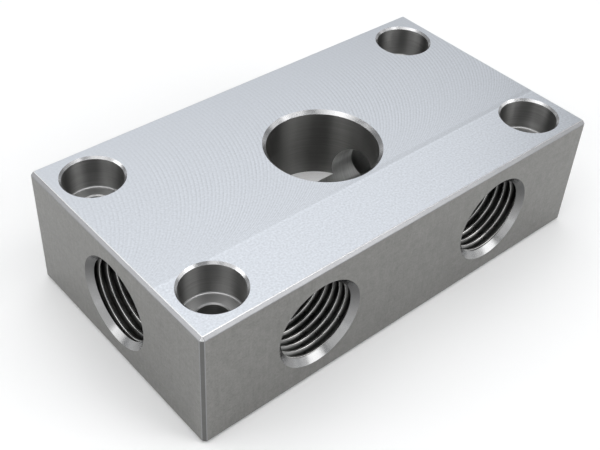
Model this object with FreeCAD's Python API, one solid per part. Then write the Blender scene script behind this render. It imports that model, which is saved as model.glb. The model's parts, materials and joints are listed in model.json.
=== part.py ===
import FreeCAD
import Part
import math
import os

# A distribution block: one flat bar, milled all round, with every passage drilled into it.
# Frame: X runs along the block, Y from front to back and Z up, and the origin is the middle
# of the underside. All sizes are in millimetres.

# The bar
block_length = 110.0
block_width = 60.0
block_height = 30.0
edge_chamfer = 0.7

# The bore in the middle: a plain wall down to a flat seat, and a narrower hole through the seat
bore_diameter = 25.0
bore_chamfer = 0.8
seat_below_axis = 2.4
seat_hole_diameter = 16.0
seat_rim = 0.3

# The four screw holes, sunk for cap screws
screw_hole_inset = 9.5
screw_hole_diameter = 7.0
head_pocket_diameter = 13.0
head_pocket_depth = 8.0
head_pocket_chamfer = 0.5
head_pocket_corner_radius = 0.35
screw_hole_rim = 0.3

# The tapped ports, drilled at the crest diameter of their thread
port_diameter = 18.631
port_mouth_diameter = 21.3
port_mouth_angle = 90.0
front_port_spacing = 52.0
end_port_depth = 17.0

# The long gallery that joins the end ports, the front ports and the bore
gallery_diameter = 14.0
gallery_overlap = 0.7
gallery_to_land = 0.5
drill_point_angle = 118.0

# How far a cutter's path starts outside the face it enters
cutter_run_in = 2.0


def vector(x, y, z):
    return FreeCAD.Vector(x, y, z)


def turned_cutter(profile):
    """Revolve (radius, depth) points, and arcs given as three points, about the drilling axis."""
    edges = []
    here = profile[0]
    for step in profile[1:]:
        start = vector(here[0], 0, -here[1])
        if len(step) == 4:
            middle = vector(step[0], 0, -step[1])
            end = vector(step[2], 0, -step[3])
            edges.append(Part.Arc(start, middle, end).toShape())
            here = step[2:]
        else:
            edges.append(Part.makeLine(start, vector(step[0], 0, -step[1])))
            here = step
    edges.append(Part.makeLine(vector(here[0], 0, -here[1]), vector(profile[0][0], 0, -profile[0][1])))
    face = Part.Face(Part.Wire(edges))
    return face.revolve(vector(0, 0, 0), vector(0, 0, 1), 360)


def aimed(cutter, entry, outward):
    """Place a cutter whose mouth is at the origin so that it enters at a point on a face."""
    placed = cutter.copy()
    turn = FreeCAD.Rotation(vector(0, 0, 1), outward)
    placed.Placement = FreeCAD.Placement(entry, turn)
    return placed


def cone_depth(wide_radius, narrow_radius, full_angle):
    return (wide_radius - narrow_radius) / math.tan(math.radians(full_angle / 2))


def chamfered_bar():
    corner = vector(-block_length / 2, -block_width / 2, 0)
    bar = Part.makeBox(block_length, block_width, block_height, corner)
    return bar.makeChamfer(edge_chamfer, bar.Edges)


def bore_cutter():
    """The wall has a plain land at its mouth, and below it the band that the gallery breaks into."""
    radius = bore_diameter / 2
    hole = seat_hole_diameter / 2
    mouth = radius + bore_chamfer
    axis_depth = block_height / 2
    land = axis_depth - gallery_diameter / 2 - gallery_to_land
    seat = axis_depth + seat_below_axis
    foot = block_height - bore_chamfer
    return turned_cutter([
        (0, -cutter_run_in),
        (mouth + cutter_run_in, -cutter_run_in),
        (radius, bore_chamfer),
        (radius, land),
        (radius, seat),
        (hole + seat_rim, seat),
        (hole, seat + seat_rim),
        (hole, foot),
        (hole + bore_chamfer + cutter_run_in, block_height + cutter_run_in),
        (0, block_height + cutter_run_in),
    ])


def screw_hole_cutter():
    hole = screw_hole_diameter / 2
    pocket = head_pocket_diameter / 2
    corner = head_pocket_corner_radius
    mouth = pocket + head_pocket_chamfer
    bend = corner * (1 - math.sqrt(0.5))
    foot = block_height - screw_hole_rim
    return turned_cutter([
        (0, -cutter_run_in),
        (mouth + cutter_run_in, -cutter_run_in),
        (pocket, head_pocket_chamfer),
        (pocket, head_pocket_depth - corner),
        (pocket - bend, head_pocket_depth - bend, pocket - corner, head_pocket_depth),
        (hole + screw_hole_rim, head_pocket_depth),
        (hole, head_pocket_depth + screw_hole_rim),
        (hole, foot),
        (hole + screw_hole_rim + cutter_run_in, block_height + cutter_run_in),
        (0, block_height + cutter_run_in),
    ])


def port_cutter(full_depth):
    radius = port_diameter / 2
    mouth = port_mouth_diameter / 2
    flare = math.tan(math.radians(port_mouth_angle / 2))
    return turned_cutter([
        (0, -cutter_run_in),
        (mouth + cutter_run_in * flare, -cutter_run_in),
        (radius, cone_depth(mouth, radius, port_mouth_angle)),
        (radius, full_depth),
        (0, full_depth + cone_depth(radius, 0, drill_point_angle)),
    ])


def screw_hole_centres():
    across = block_length / 2 - screw_hole_inset
    along = block_width / 2 - screw_hole_inset
    return [vector(x, y, block_height) for x in (-across, across) for y in (-along, along)]


def port_entries():
    """Each port's centre on its face, the way out of it, and its full-diameter depth."""
    axis_height = block_height / 2
    front_port_depth = block_width / 2 + gallery_diameter / 2 + gallery_overlap
    entries = []
    for side in (-1, 1):
        front = vector(side * front_port_spacing / 2, -block_width / 2, axis_height)
        entries.append((front, vector(0, -1, 0), front_port_depth))
        end = vector(side * block_length / 2, 0, axis_height)
        entries.append((end, vector(side, 0, 0), end_port_depth))
    return entries


def gallery_cutter():
    reach = block_length - 2 * end_port_depth
    start = vector(-reach / 2, 0, block_height / 2)
    return Part.makeCylinder(gallery_diameter / 2, reach, start, vector(1, 0, 0))


def distribution_block():
    cutters = [aimed(bore_cutter(), vector(0, 0, block_height), vector(0, 0, 1))]
    cutters += [aimed(screw_hole_cutter(), centre, vector(0, 0, 1)) for centre in screw_hole_centres()]
    cutters += [aimed(port_cutter(depth), entry, outward) for entry, outward, depth in port_entries()]
    cutters.append(gallery_cutter())
    return chamfered_bar().cut(cutters)


os.makedirs("parts", exist_ok=True)
distribution_block().exportStep("parts/distribution_block.step")
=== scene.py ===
import bmesh
import bpy
import json
import math
from mathutils import Matrix, Quaternion, Vector


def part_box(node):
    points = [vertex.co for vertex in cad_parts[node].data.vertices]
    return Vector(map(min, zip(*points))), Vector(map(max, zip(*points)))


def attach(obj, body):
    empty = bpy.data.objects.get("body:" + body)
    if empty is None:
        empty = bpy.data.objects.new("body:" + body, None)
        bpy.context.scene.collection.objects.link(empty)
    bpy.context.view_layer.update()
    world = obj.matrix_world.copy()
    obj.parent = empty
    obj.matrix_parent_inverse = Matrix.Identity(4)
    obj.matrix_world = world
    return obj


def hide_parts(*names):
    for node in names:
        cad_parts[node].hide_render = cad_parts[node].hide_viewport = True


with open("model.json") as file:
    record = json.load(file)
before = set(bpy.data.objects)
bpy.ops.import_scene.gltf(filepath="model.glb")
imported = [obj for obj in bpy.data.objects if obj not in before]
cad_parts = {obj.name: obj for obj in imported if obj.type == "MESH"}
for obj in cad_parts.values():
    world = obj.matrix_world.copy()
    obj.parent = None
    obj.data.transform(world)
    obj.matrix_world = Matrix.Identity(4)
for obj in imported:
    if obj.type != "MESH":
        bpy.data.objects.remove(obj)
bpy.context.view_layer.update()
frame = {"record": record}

# A machined distribution block: bar, drilled passages, cut threads, and one finish for each kind of cut.
# Everything is in metres, in the frame of the CAD model.
mm = 0.001
nodeName = "distribution_block"
boxLow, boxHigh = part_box(nodeName)
blockLength, blockWidth, blockHeight = boxHigh - boxLow
mounts = {mount["name"]: mount for mount in frame["record"]["mounts"]}
boreSizes = mounts["centre_bore"]["dims"]
screwSizes = mounts["screw_holes"]["dims"]
frontPort = mounts["front_port_left"]
frontPortAcross = abs(frontPort["pos_m"][0])
axisHeight = frontPort["pos_m"][2]

# One name for each kind of cut; its place in the list is its material slot.
finishNames = [
    "flyCutTop",
    "groundSide",
    "underside",
    "upperEdge",
    "lowerEdge",
    "ridge",
    "boreWall",
    "pocketWall",
    "pocketSeat",
    "boreSeat",
    "mouthChamfer",
    "portCone",
    "threadCut",
    "drilledPassage",
    "galleryWall",
]


def plug(tree, socket, value):
    # a signal is linked, anything else is set
    if isinstance(value, Signal):
        tree.links.new(value.socket, socket)
    else:
        socket.default_value = value


class Signal:
    # one output socket; arithmetic on it adds Math nodes
    def __init__(self, tree, socket):
        self.tree = tree
        self.socket = socket

    def maths(self, operation, *values):
        node = self.tree.nodes.new("ShaderNodeMath")
        node.operation = operation
        for socket, value in zip(node.inputs, values):
            plug(self.tree, socket, value)
        return Signal(self.tree, node.outputs[0])

    def __add__(self, other):
        return self.maths("ADD", self, other)

    def __radd__(self, other):
        return self.maths("ADD", other, self)

    def __sub__(self, other):
        return self.maths("SUBTRACT", self, other)

    def __rsub__(self, other):
        return self.maths("SUBTRACT", other, self)

    def __mul__(self, other):
        return self.maths("MULTIPLY", self, other)

    def __rmul__(self, other):
        return self.maths("MULTIPLY", other, self)

    def __abs__(self):
        return self.maths("ABSOLUTE", self)

    def sine(self):
        return self.maths("SINE", self)

    def sign(self):
        return self.maths("SIGN", self)

    def root(self):
        return self.maths("SQRT", self.maths("MAXIMUM", self, 0.0))

    def above(self, edge, blur):
        # 0 below the edge, 1 above it, with a soft step in between
        node = self.tree.nodes.new("ShaderNodeMapRange")
        node.interpolation_type = "SMOOTHSTEP"
        plug(self.tree, node.inputs["Value"], self)
        node.inputs["From Min"].default_value = edge - blur
        node.inputs["From Max"].default_value = edge + blur
        return Signal(self.tree, node.outputs["Result"])


class Nodes:
    # the nodes of one material or world
    def __init__(self, tree):
        self.tree = tree

    def node(self, kind, settings=None, values=None, output=0):
        node = self.tree.nodes.new("ShaderNode" + kind)
        for name, setting in (settings or {}).items():
            setattr(node, name, setting)
        for name, value in (values or {}).items():
            plug(self.tree, node.inputs[name], value)
        return Signal(self.tree, node.outputs[output])

    def axes(self, place):
        split = self.tree.nodes.new("ShaderNodeSeparateXYZ")
        self.tree.links.new(place.socket, split.inputs[0])
        return [Signal(self.tree, socket) for socket in split.outputs]

    def mirrored(self):
        # 1 for what metal and glass show
        glossy = self.node("LightPath", output="Is Glossy Ray")
        return glossy + self.node("LightPath", output="Is Transmission Ray")


class Finish(Nodes):
    # one material and the nodes that drive its shader
    def __init__(self, name, colour, metallic, roughness, specular=0.5):
        self.material = bpy.data.materials.new(name)
        self.material.use_nodes = True
        super().__init__(self.material.node_tree)
        self.shader = self.tree.nodes["Principled BSDF"]
        self.shader.inputs["Base Color"].default_value = (*colour, 1.0)
        self.shader.inputs["Metallic"].default_value = metallic
        self.shader.inputs["Roughness"].default_value = roughness
        self.shader.inputs["Specular IOR Level"].default_value = specular
        self.colour = colour
        self.roughness = roughness
        point = self.node("TexCoord", output="Object")
        self.point = self.node("VectorMath", {"operation": "SCALE"}, {"Vector": point, "Scale": 1.0 / mm})
        self.x, self.y, self.z = self.axes(self.point)

    def noise(self, stretch, detail=2.0, shift=(0.0, 0.0, 0.0)):
        # grain with its own scale along each axis, per millimetre, from about -1 to 1
        place = self.node("Mapping", values={"Vector": self.point, "Location": shift, "Scale": stretch})
        grain = self.node("TexNoise", values={"Vector": place, "Scale": 1.0, "Detail": detail})
        return (grain - 0.5) * 4.0

    def distance(self, first, second):
        return (first * first + second * second).root()

    def shade(self, level):
        # the finish's own colour, made darker or lighter by a level round 1
        black = (0.0, 0.0, 0.0, 1.0)
        double = (*(2.0 * part for part in self.colour), 1.0)
        mix = self.tree.nodes.new("ShaderNodeMix")
        mix.data_type = "RGBA"
        plug(self.tree, mix.inputs[0], level * 0.5)
        plug(self.tree, mix.inputs[6], black)
        plug(self.tree, mix.inputs[7], double)
        self.tree.links.new(mix.outputs[2], self.shader.inputs["Base Color"])

    def polish(self, change):
        plug(self.tree, self.shader.inputs["Roughness"], self.roughness + change)

    def relief(self, height, depth):
        # height is in units of depth, and depth in metres
        bump = self.node("Bump", values={"Height": height * (depth / mm), "Distance": mm, "Strength": 1.0})
        self.tree.links.new(bump.socket, self.shader.inputs["Normal"])


print("finishes")

# The top was faced in two passes along X; every turn of the cutter left one arc. Places are in millimetres.
flyCut = {
    # the top's own metal colour; its bluish cast is partly a painted reflection of bluish light
    "frontColour": (0.645, 0.675, 0.722),
    "roughness": 0.34,
    "secondPassShade": 0.92,      # the wider pass is this much duller than the front strip
    "passLine": -14.2,
    "passBlur": 0.3,
    "bandWidth": 1.2,             # painted shade: a darker band along the inner side of the line, from the middle to the right
    "bandBlur": 0.35,
    "bandStarts": -8.0,
    "bandBlend": 10.0,
    "bandTint": 0.07,
    "burrWidth": 0.45,            # a painted highlight along the line itself
    "burrBlur": 0.2,
    "burrTint": 0.05,
    "cutterRadius": 40.0,
    "cutterCentre": 24.2,
    "feed": 0.966,
    "wander": 0.12,
    "overtone": 0.4,
    "overtoneTurn": 0.8,
    "leftShare": 0.45,            # painted light: the arcs' contrast is this faint at the left end, as the light shows them there
    "leftEnds": -36.0,
    "leftBlend": 12.0,
    "backLoss": 0.7,              # and this much fainter towards the back, also painted light
    "backStarts": 19.0,
    "backBlend": 8.0,
    "evenShare": 0.75,
    "driftShare": 0.3,
    "beatGain": 2.4,
    "beatLow": 0.3,
    "arcTint": 0.086,
    "arcRelief": 0.8,
    "arcDepth": 0.0006 * mm,
    "grainTint": 0.115,
    "grainRelief": 0.35,
    "stripGrain": 1.25,           # the grain is this much stronger on the front strip
    "grainLoss": 0.5,             # and weaker towards the back
    "grainFades": 14.0,
    "grainBlend": 10.0,
    "cloudTint": 0.012,
    "grainPolish": 0.012,
    "cloudPolish": 0.01,
}


def flyCutFinish(name):
    use = flyCut
    finish = Finish(name, use["frontColour"], 1.0, use["roughness"])
    x, y = finish.x, finish.y
    behind = y.above(use["passLine"], use["passBlur"])
    across = y - use["cutterCentre"]
    arc = x - (use["cutterRadius"] ** 2 - across * across).root()
    wander = finish.noise((0.02, 0.05, 0.0))
    turn = (arc + wander * use["wander"]) * (2.0 * math.pi / use["feed"])
    drift = finish.noise((0.07, 0.05, 0.0), shift=(7.0, 3.0, 0.0))
    # the arcs' contrast fades by place as painted light, for how the light shows them
    fromLeft = use["leftShare"] + (1.0 - use["leftShare"]) * x.above(use["leftEnds"], use["leftBlend"])
    toBack = 1.0 - use["backLoss"] * y.above(use["backStarts"], use["backBlend"])
    strength = (use["evenShare"] + use["driftShare"] * drift) * (fromLeft * toBack)
    alongArc = finish.node("CombineXYZ", values={"X": arc * 1.3, "Y": y * 0.12})
    beat = finish.node("TexNoise", values={"Vector": alongArc, "Scale": 1.0, "Detail": 3.0})
    beat = beat * use["beatGain"] - use["beatLow"]
    overtone = use["overtone"] * (turn * 2.0 + use["overtoneTurn"]).sine()
    ripple = (turn.sine() + overtone) * strength * beat * behind
    grain = finish.noise((2.2, 2.2, 0.0), 3.0)
    cloud = finish.noise((0.06, 0.09, 0.0), 2.0, (2.0, 5.0, 0.0))
    inBand = behind * (1.0 - y.above(use["passLine"] + use["bandWidth"], use["bandBlur"]))
    toTheRight = x.above(use["bandStarts"], use["bandBlend"])
    # painted highlight along the pass line, and painted shade in the band behind it
    lineHighlight = y.above(use["passLine"] - use["burrWidth"], use["burrBlur"]) * (1.0 - behind)
    level = behind * (use["secondPassShade"] - 1.0) + 1.0
    level = level - inBand * toTheRight * use["bandTint"] + lineHighlight * use["burrTint"]
    speckle = grain * use["grainTint"] * (use["stripGrain"] - (use["stripGrain"] - 1.0) * behind)
    speckle = speckle * (1.0 - use["grainLoss"] * y.above(use["grainFades"], use["grainBlend"]))
    level = level * (1.0 + ripple * use["arcTint"] + speckle + cloud * use["cloudTint"])
    finish.shade(level)
    finish.polish(grain * use["grainPolish"] + cloud * use["cloudPolish"])
    finish.relief(ripple * use["arcRelief"] + grain * use["grainRelief"], use["arcDepth"])
    return finish.material


# The four sides: fine upright and level grinding marks and speckle on a duller grey, darker than the top
# mostly as painted shade for how light falls on upright faces.
ground = {
    "colour": (0.228, 0.226, 0.217),
    "undersideColour": (0.34, 0.34, 0.33),
    "roughness": 0.40,
    "uprightShare": 0.25,
    "levelShare": 0.15,
    "speckleShare": 0.6,
    "grainTint": 0.22,
    "mottleTint": 0.08,
    "cloudTint": 0.03,
    "polishTint": 0.02,
    "grainDepth": 0.0008 * mm,
}


def groundFinish(name, colour):
    use = ground
    finish = Finish(name, colour, 1.0, use["roughness"])
    upright = finish.noise((1.6, 1.6, 0.12), 3.0)
    level = finish.noise((0.10, 0.10, 1.7), 3.0, (4.0, 1.0, 2.0))
    speckle = finish.noise((2.2, 2.2, 2.2), 2.0, (3.0, 7.0, 5.0))
    cloud = finish.noise((0.05, 0.05, 0.09), 2.0, (9.0, 6.0, 1.0))
    mottle = finish.noise((0.75, 0.75, 0.75), 2.0, (6.0, 2.0, 8.0))
    marks = upright * use["uprightShare"] + level * use["levelShare"] + speckle * use["speckleShare"]
    finish.shade(1.0 + marks * use["grainTint"] + mottle * use["mottleTint"] + cloud * use["cloudTint"])
    finish.polish(marks * use["polishTint"] + cloud * use["polishTint"])
    finish.relief(marks, use["grainDepth"])
    return finish.material


# Broken edges: the chamfer cutter's slightly scratched cut, with painted highlights on the ridges where it
# meets the top, and painted shade on the upright and lower edges.
brokenEdges = {
    "roughness": 0.33,
    "upperColour": (0.268, 0.270, 0.278),
    # painted shade: the upright and lower edges are far darker, a dark line along the foot of the block
    "lowerColour": (0.130, 0.130, 0.127),
    # painted highlight: the small roundings along the top edges are near white
    "ridgeColour": (0.90, 0.90, 0.90),
    "streakTint": 0.04,
    "dirtTint": 0.05,
    "streakPolish": 0.03,
    "streakDepth": 0.0006 * mm,
}


def brokenEdgeFinish(name, colour):
    use = brokenEdges
    finish = Finish(name, colour, 1.0, use["roughness"])
    streak = finish.noise((0.35, 0.35, 3.5), 3.0)
    dirt = finish.noise((0.25, 0.25, 0.25), 2.0, (3.0, 8.0, 5.0))
    finish.shade(1.0 + streak * use["streakTint"] + dirt * use["dirtTint"])
    finish.polish(streak * use["streakPolish"])
    finish.relief(streak, use["streakDepth"])
    return finish.material


# Turned walls: fine rings that scatter the light up and down the wall.
turned = {
    "boreWall": (0.190, 0.189, 0.182),
    "pocketWall": (0.290, 0.288, 0.282),
    "drilledPassage": (0.32, 0.32, 0.315),
    # painted light: the gallery's wall is far lighter than the other drilled walls, standing for light
    # inside the cross hole
    "galleryWall": (0.75, 0.75, 0.74),
    "roughness": 0.43,
    "ringTint": 0.14,
    "columnTint": 0.13,
    "ringDepth": 0.003 * mm,
    "polishTint": 0.03,
    "stretch": 0.85,            # light is scattered far more up and down than sideways
    "stretchTurn": 0.25,
    # strength of the painted reflection lobes
    "lobeTint": 0.30,
}
# painted reflections: upright light and dark lobes round a wall, in its colour: how many, and the angle of
# one, in degrees from X
reflectionLobes = {
    "boreWall": {"count": 7, "leftHole": 27.0, "rightHole": 27.0, "spacingX": 0.0, "spacingY": 0.0},
    "pocketWall": {
        "count": 6, "leftHole": 31.5, "rightHole": 12.5,
        "spacingX": screwSizes["spacing_x_mm"], "spacingY": screwSizes["spacing_y_mm"],
    },
}


def paintedReflectionLobes(finish, use):
    side = finish.x.sign()
    across = finish.x - side * (use["spacingX"] / 2)
    along = finish.y - finish.y.sign() * (use["spacingY"] / 2)
    angle = along.maths("ARCTAN2", along, across)
    middle = math.radians((use["rightHole"] + use["leftHole"]) / 2)
    swing = math.radians((use["rightHole"] - use["leftHole"]) / 2)
    return ((angle - side * swing - middle) * use["count"] + math.pi / 2).sine()


def turnedFinish(name, along, about):
    # along is the depth in the hole, about varies round it
    use = turned
    finish = Finish(name, use[name], 1.0, use["roughness"])
    rings = finish.noise(along, 4.0)
    streak = finish.noise(about, 2.0, (5.0, 2.0, 7.0))
    level = 1.0 + rings * use["ringTint"] + streak * use["columnTint"]
    # painted reflections, as lobes round the wall
    if name in reflectionLobes:
        level = level * (1.0 + paintedReflectionLobes(finish, reflectionLobes[name]) * use["lobeTint"])
    finish.shade(level)
    finish.polish(rings * use["polishTint"] + streak * use["polishTint"])
    finish.relief(rings, use["ringDepth"])
    finish.shader.inputs["Anisotropic"].default_value = use["stretch"]
    finish.shader.inputs["Anisotropic Rotation"].default_value = use["stretchTurn"]
    return finish.material


# Flat seats: rings about each hole's own axis. The bore's seat is painted pale and matt, near white, as a
# painted highlight for bright light at the foot of the bore.
pocketSeat = {"colour": (0.58, 0.58, 0.58), "metallic": 1.0, "roughness": 0.42}
boreSeat = {"colour": (0.96, 0.96, 0.96), "metallic": 0.0, "roughness": 0.75}
seatMarks = {"ringPitch": 0.45, "ringTint": 0.02, "grainTint": 0.03, "ringRelief": 0.6, "depth": 0.0006 * mm}


def seatFinish(name, use, spacingX, spacingY):
    # the rings lie about the holes, which are this far apart
    finish = Finish(name, use["colour"], use["metallic"], use["roughness"])
    radius = finish.distance(abs(finish.x) - spacingX / 2, abs(finish.y) - spacingY / 2)
    rings = (radius * (2.0 * math.pi / seatMarks["ringPitch"])).sine()
    grain = finish.noise((2.0, 2.0, 2.0), 2.0)
    finish.shade(1.0 + rings * seatMarks["ringTint"] + grain * seatMarks["grainTint"])
    finish.polish(grain * seatMarks["grainTint"])
    finish.relief(rings * seatMarks["ringRelief"] + grain, seatMarks["depth"])
    return finish.material


# Countersunk mouths: bright, with the countersink's chatter. The ports' cones are duller, with painted shade
# on their upper part.
mouth = {"colour": (0.57, 0.57, 0.575), "roughness": 0.25, "upperShade": 1.0}
cone = {"colour": (0.325, 0.325, 0.325), "roughness": 0.24, "upperShade": 0.35}
countersink = {
    "chatterTint": 0.04,
    "patchTint": 0.05,
    "polishTint": 0.03,
    "chatterDepth": 0.0003 * mm,
    "shadeStarts": -1.0,        # where the painted shade starts, in millimetres from the ports' axis, upwards
    "shadeBlend": 8.0,
}


def countersunkFinish(name, use, stretch):
    finish = Finish(name, use["colour"], 1.0, use["roughness"])
    chatter = finish.noise(stretch, 3.0)
    patch = finish.noise((0.22, 0.22, 0.22), 2.0, (1.0, 4.0, 2.0))
    # painted shade: the upper part of a port's cone, which looks down, is painted darker
    upper = finish.z.above(axisHeight / mm + countersink["shadeStarts"], countersink["shadeBlend"])
    paintedShade = upper * (1.0 - use["upperShade"])
    marks = 1.0 + chatter * countersink["chatterTint"] + patch * countersink["patchTint"]
    finish.shade(marks * (1.0 - paintedShade))
    finish.polish(chatter * countersink["polishTint"] + patch * countersink["polishTint"])
    finish.relief(chatter, countersink["chatterDepth"])
    return finish.material


# Threads: bright along the crests, with painted shade down in the grooves.
threadCut = {
    "colour": (0.85, 0.85, 0.83),
    "roughness": 0.24,
    # levels of the painted shade on the flanks and down in the roots
    "flankShade": 0.17,
    "grooveShade": 0.06,
    "grooveStarts": 0.04,       # millimetres outside the crest
    "grooveBlur": 0.06,
    "rootStarts": 0.6,
    "rootBlur": 0.45,
    "lowerLift": 0.22,          # the painted groove shade is lifted on the lower half, where the flanks face up to the light
    "lowerEnds": -3.0,
    "lowerBlend": 4.0,
    "endPortsStart": 38.0,      # millimetres from the middle; nearer in, a thread is a front port's
    "endPortsBlur": 0.2,
    "tearTint": 0.10,
    "tearPolish": 0.04,
    "groovePolish": 0.08,
    "tearDepth": 0.0006 * mm,
}


def threadFinish(name):
    use = threadCut
    finish = Finish(name, use["colour"], 1.0, use["roughness"])
    level = finish.z - axisHeight / mm
    inFront = finish.distance(abs(finish.x) - frontPortAcross / mm, level)
    atEnd = finish.distance(finish.y, level)
    nearEnd = abs(finish.x).above(use["endPortsStart"], use["endPortsBlur"])
    radius = inFront + (atEnd - inFront) * nearEnd
    crest = frontPort["dims"]["r_mm"]
    # painted shade down the flanks and into the roots, lifted on the lower half as painted light
    flank = radius.above(crest + use["grooveStarts"], use["grooveBlur"]) * (1.0 - use["flankShade"])
    root = radius.above(crest + use["rootStarts"], use["rootBlur"])
    groove = root * (use["flankShade"] - use["grooveShade"]) + flank
    lower = 1.0 - level.above(use["lowerEnds"], use["lowerBlend"])
    groove = groove * (1.0 - lower * use["lowerLift"])
    tear = finish.noise((0.5, 0.5, 0.5), 3.0)
    finish.shade((1.0 - groove) * (1.0 + tear * use["tearTint"]))
    finish.polish(tear * use["tearPolish"] + groove * use["groovePolish"])
    finish.relief(tear, use["tearDepth"])
    return finish.material


materials = {
    "flyCutTop": flyCutFinish("flyCutTop"),
    "groundSide": groundFinish("groundSide", ground["colour"]),
    "underside": groundFinish("underside", ground["undersideColour"]),
    "upperEdge": brokenEdgeFinish("upperEdge", brokenEdges["upperColour"]),
    "lowerEdge": brokenEdgeFinish("lowerEdge", brokenEdges["lowerColour"]),
    "ridge": brokenEdgeFinish("ridge", brokenEdges["ridgeColour"]),
    "boreWall": turnedFinish("boreWall", (0.08, 0.08, 5.0), (0.22, 0.22, 0.02)),
    "pocketWall": turnedFinish("pocketWall", (0.08, 0.08, 5.0), (0.35, 0.35, 0.03)),
    "pocketSeat": seatFinish(
        "pocketSeat", pocketSeat, screwSizes["spacing_x_mm"], screwSizes["spacing_y_mm"],
    ),
    "boreSeat": seatFinish("boreSeat", boreSeat, 0.0, 0.0),
    "mouthChamfer": countersunkFinish("mouthChamfer", mouth, (0.6, 0.6, 3.0)),
    "portCone": countersunkFinish("portCone", cone, (0.7, 0.7, 0.7)),
    "threadCut": threadFinish("threadCut"),
    "drilledPassage": turnedFinish("drilledPassage", (0.06, 0.06, 3.0), (0.5, 0.5, 0.03)),
    "galleryWall": turnedFinish("galleryWall", (3.0, 0.06, 0.06), (0.03, 0.5, 0.5)),
}

print("cutters")

# The block's own sizes: what the frame gives is read from it, the rest is written here.
blockShape = {
    "edgeChamfer": 0.7 * mm,
    "edgeRounding": 0.10 * mm,
    "boreChamfer": 0.8 * mm,
    "seatHole": 8.0 * mm,
    "seatRim": 0.3 * mm,
    "pocketRadius": 6.5 * mm,
    "pocketDepth": 8.0 * mm,
    "pocketChamfer": 0.5 * mm,
    "pocketCorner": 0.35 * mm,
    "screwHoleRim": 0.3 * mm,
    "portMouth": 10.65 * mm,
    "galleryRadius": 7.0 * mm,
    "galleryReach": 38.0 * mm,
    "crossingBreak": 0.15 * mm,
    "pointAngle": 118.0,
    "runIn": 2.0 * mm,
    "roundSteps": 160,
    "weld": 1e-7,               # metres
    "weldAfterCut": 2e-7,
    "creaseAngle": 10,
}
thread = {
    "pitch": 1.90 * mm,
    "grooveDepth": 1.162 * mm,
    "rootLand": 0.388 * mm,
    "flankAngle": 27.5,
    "crestRounding": 0.15 * mm,
    "crestClearance": 0.01 * mm,
    "underCone": 0.04 * mm,
    "overlap": 0.15 * mm,
    "leastFade": 0.02,
    "stepsPerTurn": 64,
    "creaseAngle": 30,
}
# the depths are such that the crest lines lie where they are seen in each mouth
threadDepths = {
    "front_port_left": 15.43 * mm,
    "front_port_right": 15.67 * mm,
    "end_port_left": 13.69 * mm,
    "end_port_right": 13.69 * mm,
}


def segmentFaces(shape, start, end):
    # turn one straight piece of a profile, given as (radius, depth), round the drilling axis
    before = set(shape.faces)
    first = shape.verts.new((start[0], 0.0, -start[1]))
    last = shape.verts.new((end[0], 0.0, -end[1]))
    edge = shape.edges.new((first, last))
    bmesh.ops.spin(
        shape, geom=[first, last, edge], cent=(0, 0, 0), axis=(0, 0, 1), dvec=(0, 0, 0),
        angle=2 * math.pi, steps=blockShape["roundSteps"], use_merge=True,
    )
    return set(shape.faces) - before


def turnedCutter(name, profile):
    # profile: (radius, depth, finish of the cut that ends there)
    shape = bmesh.new()
    here = profile[0]
    for step in profile[1:]:
        for face in segmentFaces(shape, here, step):
            face.material_index = finishNames.index(step[2])
        here = step
    return closedPiece(name, shape)


def closedPiece(name, shape):
    bmesh.ops.remove_doubles(shape, verts=shape.verts, dist=blockShape["weld"])
    bmesh.ops.recalc_face_normals(shape, faces=shape.faces)
    mesh = bpy.data.meshes.new(name)
    shape.to_mesh(mesh)
    shape.free()
    for finishName in finishNames:
        mesh.materials.append(materials[finishName])
    piece = bpy.data.objects.new(name, mesh)
    bpy.context.scene.collection.objects.link(piece)
    return piece


def aim(piece, entry, outward):
    # a cutter is made with its mouth at the origin and its way out along Z
    turn = Vector((0, 0, 1)).rotation_difference(outward).to_matrix().to_4x4()
    piece.data.transform(Matrix.Translation(entry) @ turn)
    return piece


def boreCutter():
    radius = boreSizes["r_mm"] * mm
    chamfer = blockShape["boreChamfer"]
    seatDepth = chamfer + boreSizes["length_mm"] * mm
    hole = blockShape["seatHole"]
    rim = blockShape["seatRim"]
    run = blockShape["runIn"]
    return turnedCutter("boreCutter", [
        (0.0, -run, None),
        (radius + chamfer + run, -run, "mouthChamfer"),
        (radius, chamfer, "mouthChamfer"),
        (radius, seatDepth, "boreWall"),
        (hole + rim, seatDepth, "boreSeat"),
        (hole, seatDepth + rim, "mouthChamfer"),
        (hole, blockHeight - chamfer, "boreWall"),
        (hole + chamfer + run, blockHeight + run, "mouthChamfer"),
        (0.0, blockHeight + run, "mouthChamfer"),
    ])


def screwHoleCutter():
    hole = screwSizes["hole_r_mm"] * mm
    pocket = blockShape["pocketRadius"]
    chamfer = blockShape["pocketChamfer"]
    depth = blockShape["pocketDepth"]
    corner = blockShape["pocketCorner"]
    rim = blockShape["screwHoleRim"]
    run = blockShape["runIn"]
    profile = [
        (0.0, -run, None),
        (pocket + chamfer + run, -run, "mouthChamfer"),
        (pocket, chamfer, "mouthChamfer"),
        (pocket, depth - corner, "pocketWall"),
    ]
    for angle in (22.5, 45.0, 67.5, 90.0):
        bend = math.radians(angle)
        profile.append((
            pocket - corner * (1 - math.cos(bend)), depth - corner * (1 - math.sin(bend)), "pocketSeat",
        ))
    profile += [
        (hole + rim, depth, "pocketSeat"),
        (hole, depth + rim, "pocketSeat"),
        (hole, blockHeight - rim, "drilledPassage"),
        (hole + rim + run, blockHeight + run, "mouthChamfer"),
        (0.0, blockHeight + run, "mouthChamfer"),
    ]
    return turnedCutter("screwHoleCutter", profile)


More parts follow.
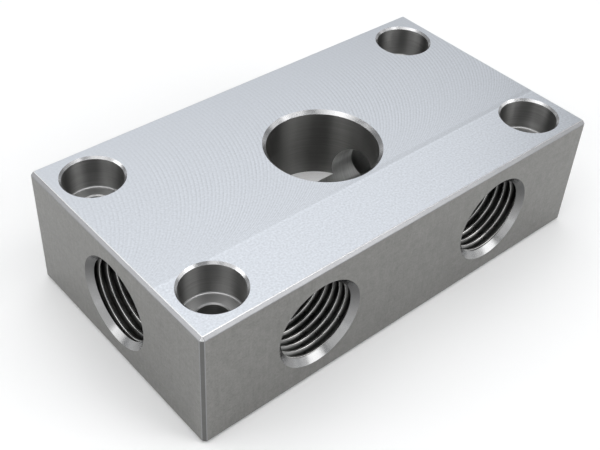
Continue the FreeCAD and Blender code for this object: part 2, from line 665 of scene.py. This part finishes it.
def portCutter(radius, wallLength, threadDepth):
    mouthRadius = blockShape["portMouth"]
    coneDepth = mouthRadius - radius
    wallEnd = coneDepth + wallLength
    point = radius / math.tan(math.radians(blockShape["pointAngle"] / 2))
    run = blockShape["runIn"]
    return turnedCutter("portCutter", [
        (0.0, -run, None),
        (mouthRadius + run, -run, "portCone"),
        (radius, coneDepth, "portCone"),
        (radius, threadDepth, "threadCut"),
        (radius, wallEnd, "drilledPassage"),
        (0.0, wallEnd + point, "drilledPassage"),
    ])


def threadCutter(crest, depth):
    # a groove's section, wound up from the bottom of the thread and cut off under the cone
    pitch = thread["pitch"]
    inner = crest - thread["overlap"]
    outer = crest + thread["grooveDepth"]
    steps = thread["stepsPerTurn"]
    turns = math.ceil(depth / pitch)
    rounding = thread["crestRounding"]
    flank = math.radians(thread["flankAngle"])
    atRoot = thread["rootLand"] / 2
    atCrest = atRoot + thread["grooveDepth"] * math.tan(flank)
    # one half of the groove from its root to where it leaves the rounded crest
    centre = atCrest + rounding * math.tan((math.pi / 2 - flank) / 2)
    half = [(outer, atRoot)]
    for share in (1.0, 0.5):
        bend = (math.pi / 2 - flank) * share
        half.append((crest + rounding * (1 - math.cos(bend)), centre - rounding * math.sin(bend)))
    half += [(crest - thread["crestClearance"], centre), (inner, centre)]
    section = [(radius, -height) for radius, height in reversed(half)] + half
    shape = bmesh.new()
    corners = [shape.verts.new((radius, 0.0, height - depth)) for radius, height in section]
    edges = [shape.edges.new((corners[i - 1], corners[i])) for i in range(len(corners))]
    bmesh.ops.spin(
        shape, geom=corners + edges, cent=(0, 0, 0), axis=(0, 0, 1), dvec=(0, 0, pitch / steps),
        angle=2 * math.pi * turns, steps=steps * turns, use_merge=False,
    )
    ends = [edge for edge in shape.edges if edge.is_boundary]
    bmesh.ops.holes_fill(shape, edges=ends, sides=len(corners))
    top = -(blockShape["portMouth"] - crest) - thread["underCone"]
    trimmed = bmesh.ops.bisect_plane(
        shape, geom=shape.verts[:] + shape.edges[:] + shape.faces[:], dist=blockShape["weld"],
        plane_co=(0, 0, top), plane_no=(0, 0, 1), clear_outer=True,
    )
    rim = [part for part in trimmed["geom_cut"] if isinstance(part, bmesh.types.BMEdge)]
    bmesh.ops.edgenet_fill(shape, edges=rim)
    # the tap's lead: the groove fades out over its last turn
    for corner in shape.verts:
        rise = min(max((corner.co.z + depth + pitch / 2) / pitch, thread["leastFade"]), 1.0)
        radius = math.hypot(corner.co.x, corner.co.y)
        fade = (inner + (radius - inner) * rise) / radius
        corner.co.x *= fade
        corner.co.y *= fade
    for face in shape.faces:
        face.material_index = finishNames.index("threadCut")
    return closedPiece("threadCutter", shape)


def galleryCutter():
    shape = bmesh.new()
    radius = blockShape["galleryRadius"]
    bmesh.ops.create_cone(
        shape, cap_ends=True, segments=blockShape["roundSteps"], radius1=radius, radius2=radius,
        depth=2 * blockShape["galleryReach"],
    )
    for face in shape.faces:
        face.material_index = finishNames.index("galleryWall")
    return closedPiece("galleryCutter", shape)


def barFinish(face):
    # the flat faces are large, and the strips along the edges are known by the way they face
    height = face.normal.z
    straight = max(abs(part) for part in face.normal)
    if face.calc_area() > 100 * mm * mm:
        if height > 0.9:
            return "flyCutTop"
        return "underside" if height < -0.9 else "groundSide"
    # the small roundings along the top take the ridges' painted highlight
    if straight < 0.65 and height > 0.3:
        return "ridge"
    if 0.75 < straight < 0.99:
        return "ridge" if height > 0.8 else "upperEdge"
    # upright and lower strips take the lower edges' painted shade
    return "upperEdge" if height > 0.3 else "lowerEdge"


def bar():
    shape = bmesh.new()
    bmesh.ops.create_cube(shape, size=1.0)
    bmesh.ops.scale(shape, vec=(blockLength, blockWidth, blockHeight), verts=shape.verts)
    bmesh.ops.translate(shape, vec=(boxLow + boxHigh) / 2, verts=shape.verts)
    for width, segments in ((blockShape["edgeChamfer"], 1), (blockShape["edgeRounding"], 2)):
        bmesh.ops.bevel(
            shape, geom=shape.edges[:] + shape.verts[:], offset=width, offset_type="OFFSET", affect="EDGES",
            segments=segments, profile=0.5, material=-1,
        )
    for face in shape.faces:
        face.normal_update()
        face.material_index = finishNames.index(barFinish(face))
    return closedPiece("distributionBlock", shape)


block = bar()
cutters = [aim(boreCutter(), Vector((0, 0, blockHeight)), Vector((0, 0, 1)))]
for sideX in (-1, 1):
    for sideY in (-1, 1):
        across = sideX * screwSizes["spacing_x_mm"] * mm / 2
        along = sideY * screwSizes["spacing_y_mm"] * mm / 2
        centre = Vector((across, along, blockHeight))
        cutters.append(aim(screwHoleCutter(), centre, Vector((0, 0, 1))))
for name, depth in threadDepths.items():
    sizes = mounts[name]["dims"]
    outward = Vector(mounts[name]["axis"])
    inside = Vector(mounts[name]["pos_m"])
    toFace = blockWidth / 2 if abs(outward.y) > 0.5 else blockLength / 2
    entry = inside + outward * (toFace - inside.dot(outward))
    radius = sizes["r_mm"] * mm
    cutters.append(aim(portCutter(radius, sizes["length_mm"] * mm, depth), entry, outward))
    cutters.append(aim(threadCutter(radius, depth), entry, outward))
cutters.append(aim(galleryCutter(), Vector((0, 0, axisHeight)), Vector((1, 0, 0))))

print("cutting")
drills = bpy.data.collections.new("drills")
for cutter in cutters:
    drills.objects.link(cutter)
cut = block.modifiers.new("drilled", "BOOLEAN")
cut.operation = "DIFFERENCE"
cut.solver = "EXACT"
cut.material_mode = "INDEX"
cut.operand_type = "COLLECTION"
cut.collection = drills
bpy.context.view_layer.update()
depsgraph = bpy.context.evaluated_depsgraph_get()
cutMesh = bpy.data.meshes.new_from_object(block.evaluated_get(depsgraph))
cutMesh.name = "distributionBlock"
block.modifiers.clear()
block.data = cutMesh
for cutter in cutters:
    bpy.data.objects.remove(cutter)
bpy.data.collections.remove(drills)

shape = bmesh.new()
shape.from_mesh(cutMesh)
bmesh.ops.remove_doubles(shape, verts=shape.verts, dist=blockShape["weldAfterCut"])
bmesh.ops.dissolve_degenerate(shape, edges=shape.edges, dist=blockShape["weld"])
# the edge where the gallery breaks into the bore's wall is broken a little
meeting = {finishNames.index("boreWall"), finishNames.index("galleryWall")}
crossing = []
for edge in shape.edges:
    if {face.material_index for face in edge.link_faces} == meeting:
        crossing.append(edge)
bmesh.ops.bevel(
    shape, geom=crossing, offset=blockShape["crossingBreak"], offset_type="OFFSET", affect="EDGES",
    segments=1, profile=0.5, clamp_overlap=True, material=finishNames.index("mouthChamfer"),
)
openEdges = [edge for edge in shape.edges if not edge.is_manifold]
for face in shape.faces:
    face.smooth = True
threadSlot = finishNames.index("threadCut")
for edge in shape.edges:
    inThread = all(face.material_index == threadSlot for face in edge.link_faces)
    limit = thread["creaseAngle"] if inThread else blockShape["creaseAngle"]
    edge.smooth = edge.is_manifold and edge.calc_face_angle(math.pi) < math.radians(limit)
shape.to_mesh(cutMesh)
print("faces", len(shape.faces), "edges not closed", len(openEdges))
shape.free()

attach(block, "root")
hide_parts(nodeName)

print("stage")
stage = {
    "floorRadius": 8.0,
    "floorSegments": 96,
    "floorColour": (0.96, 0.96, 0.96),
    "floorRoughness": 0.9,
    "farFloor": 650.0,          # millimetres from the block, where the floor is only backdrop
    "farBlend": 250.0,
    "worldColour": (0.96, 0.98, 1.0),
    "worldStrength": 0.30,
    "horizonTop": 0.12,         # the sine of the height to which metal sees the pale horizon
    "horizonBlend": 0.10,
}
# Light panels, all at one distance from the block. As seen from it, turn is the angle from X and rise the
# height above the horizon, in degrees. The sizes are in metres, and glow is the radiance.
lampDistance = 0.8
lamps = {
    "overheadPanel": {"turn": 160.0, "rise": 80.0, "wide": 0.84, "tall": 0.80, "glow": 1.28},
    "upperFrontPanel": {"turn": -60.0, "rise": 62.0, "wide": 0.38, "tall": 0.34, "glow": 2.0},
    "upperLeftPanel": {"turn": 178.0, "rise": 52.0, "wide": 0.35, "tall": 0.30, "glow": 0.9},
    "frontPanel": {"turn": -60.0, "rise": 27.0, "wide": 0.40, "tall": 0.40, "glow": 2.9},
    "frontLeftPanel": {"turn": -107.0, "rise": 17.0, "wide": 0.50, "tall": 0.48, "glow": 0.92},
    "frontRightPanel": {"turn": -30.0, "rise": 20.0, "wide": 0.34, "tall": 0.34, "glow": 1.0},
    "leftPanel": {"turn": 182.0, "rise": 21.0, "wide": 0.80, "tall": 0.54, "glow": 0.75},
    "leftBackPanel": {"turn": 146.0, "rise": 24.0, "wide": 0.40, "tall": 0.32, "glow": 2.1},
    "cameraSidePanel": {"turn": -135.0, "rise": 47.0, "wide": 0.32, "tall": 0.32, "glow": 0.9},
    "backPanel": {"turn": 62.0, "rise": 46.0, "wide": 0.90, "tall": 0.50, "glow": 0.88},
}


def floor():
    shape = bmesh.new()
    bmesh.ops.create_circle(
        shape, cap_ends=True, segments=stage["floorSegments"], radius=stage["floorRadius"],
    )
    mesh = bpy.data.meshes.new("floor")
    shape.to_mesh(mesh)
    shape.free()
    piece = bpy.data.objects.new("floor", mesh)
    bpy.context.scene.collection.objects.link(piece)
    finish = Finish("paleFloor", stage["floorColour"], 0.0, stage["floorRoughness"], 0.0)
    # far out it glows for what is seen and mirrored, but lights nothing
    far = finish.distance(finish.x, finish.y).above(stage["farFloor"], stage["farBlend"])
    seen = finish.node("LightPath", output="Is Camera Ray") + finish.mirrored()
    near = Signal(finish.tree, finish.shader.outputs[0])
    glow = finish.node("Emission", values={"Strength": 1.0})
    both = finish.node("MixShader", values={0: far * seen, 1: near, 2: glow})
    finish.tree.links.new(both.socket, finish.tree.nodes["Material Output"].inputs["Surface"])
    mesh.materials.append(finish.material)


def panel(name, use):
    light = bpy.data.lights.new(name, "AREA")
    light.shape = "RECTANGLE"
    light.size = use["wide"]
    light.size_y = use["tall"]
    light.energy = use["glow"] * math.pi * use["wide"] * use["tall"]
    lamp = bpy.data.objects.new(name, light)
    turn = math.radians(use["turn"])
    rise = math.radians(use["rise"])
    towards = Vector((math.cos(turn) * math.cos(rise), math.sin(turn) * math.cos(rise), math.sin(rise)))
    lamp.location = Vector((0, 0, axisHeight)) + towards * lampDistance
    lamp.rotation_mode = "QUATERNION"
    lamp.rotation_quaternion = towards.to_track_quat("Z", "Y")
    lamp.visible_camera = False
    bpy.context.scene.collection.objects.link(lamp)


def surround():
    world = bpy.data.worlds.new("surround")
    world.use_nodes = True
    nodes = Nodes(world.node_tree)
    height = nodes.axes(nodes.node("TexCoord", output="Generated"))[2]
    low = 1.0 - height.above(stage["horizonTop"], stage["horizonBlend"])
    seen = nodes.node("LightPath", output="Is Camera Ray") + nodes.mirrored() * low
    background = world.node_tree.nodes["Background"]
    background.inputs["Color"].default_value = (*stage["worldColour"], 1.0)
    strength = seen * (1.0 - stage["worldStrength"]) + stage["worldStrength"]
    plug(nodes.tree, background.inputs["Strength"], strength)
    bpy.context.scene.world = world


floor()
surround()
for name, use in lamps.items():
    panel(name, use)

# The photo's view, worked out from the block's own edges and holes.
view = {
    "place": (-122.27 * mm, -125.50 * mm, 159.47 * mm),
    "target": (-5.86 * mm, -0.56 * mm, 9.97 * mm),
    "roll": 3.522,
    "lens": 59.523,
    "sensor": 36.0,
    "nearest": 0.01,
}
lens = bpy.data.cameras.new("photoView")
lens.lens = view["lens"]
lens.sensor_width = view["sensor"]
lens.clip_start = view["nearest"]
camera = bpy.data.objects.new("photoView", lens)
bpy.context.scene.collection.objects.link(camera)
sight = Vector(view["target"]) - Vector(view["place"])
camera.location = view["place"]
camera.rotation_mode = "QUATERNION"
rolled = Quaternion((0, 0, 1), math.radians(view["roll"]))
camera.rotation_quaternion = sight.to_track_quat("-Z", "Y") @ rolled
bpy.context.scene.camera = camera
bpy.context.scene.view_settings.view_transform = "Standard"

print("done")
